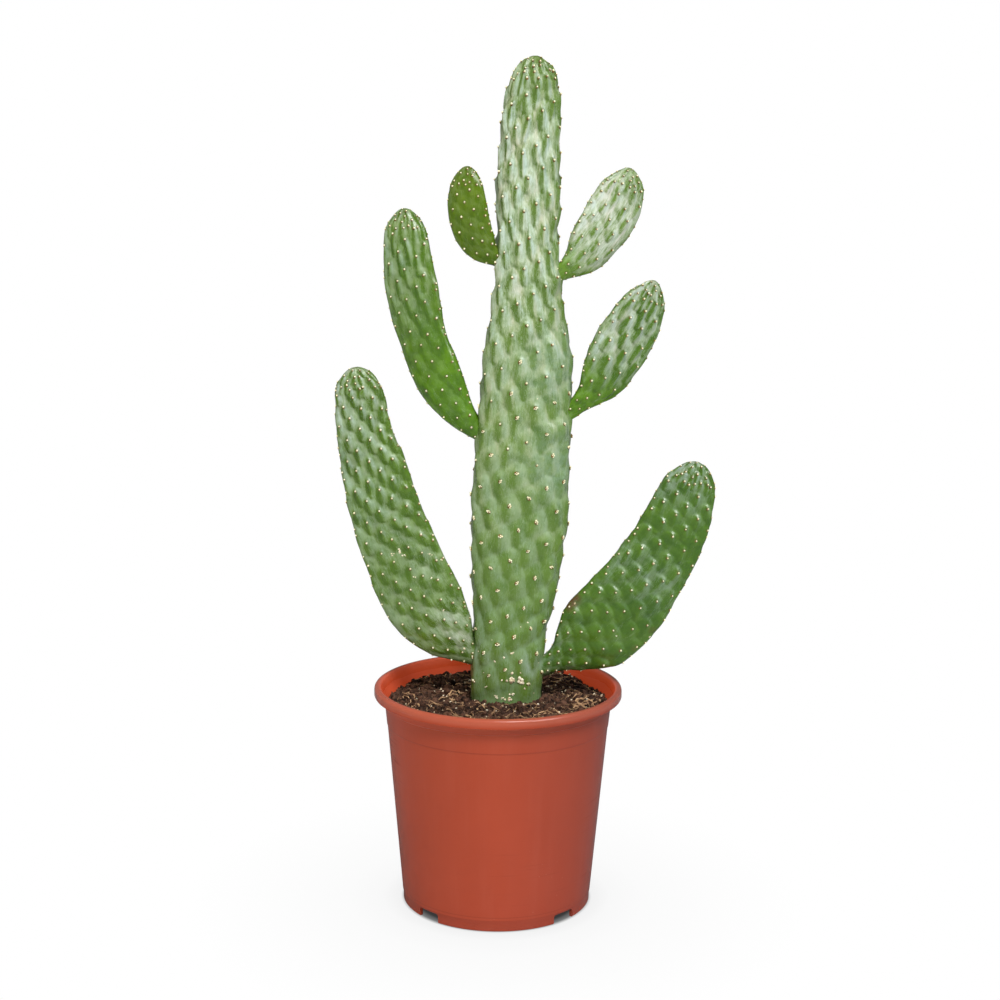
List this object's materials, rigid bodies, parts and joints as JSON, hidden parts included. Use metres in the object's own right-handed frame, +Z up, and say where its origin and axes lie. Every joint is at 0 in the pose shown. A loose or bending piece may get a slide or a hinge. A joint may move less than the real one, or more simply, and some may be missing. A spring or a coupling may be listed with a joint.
{
  "type": "potted paddle cactus",
  "caption": "Tall flattened cactus trunk with narrow pads on both sides, raised tubercles and areoles, growing in a round nursery pot of soil.",
  "frame": {"origin": "middle of the bounding box on the plane that the pot stands on", "axes": "+Z up along the trunk, +X to the viewer's right along the spread of the pads, -Y toward the viewer"},
  "size_m": [0.3196, 0.2124, 0.7165],
  "materials": {
    "pot": "satin moulded plastic",
    "soil": "crumbly potting mix of bark and peat",
    "trunk": "waxy living skin",
    "pad_left_low": "waxy living skin",
    "pad_left_mid": "waxy living skin",
    "pad_left_top": "waxy living skin",
    "pad_right_low": "waxy living skin",
    "pad_right_mid": "waxy living skin",
    "pad_right_top": "waxy living skin"
  },
  "bodies": {
    "root": {"pot": "pot", "soil": "soil", "trunk": "trunk", "pad_left_low": "pad_left_low", "pad_left_mid": "pad_left_mid", "pad_left_top": "pad_left_top", "pad_right_low": "pad_right_low", "pad_right_mid": "pad_right_mid", "pad_right_top": "pad_right_top"}
  },
  "joints": []
}
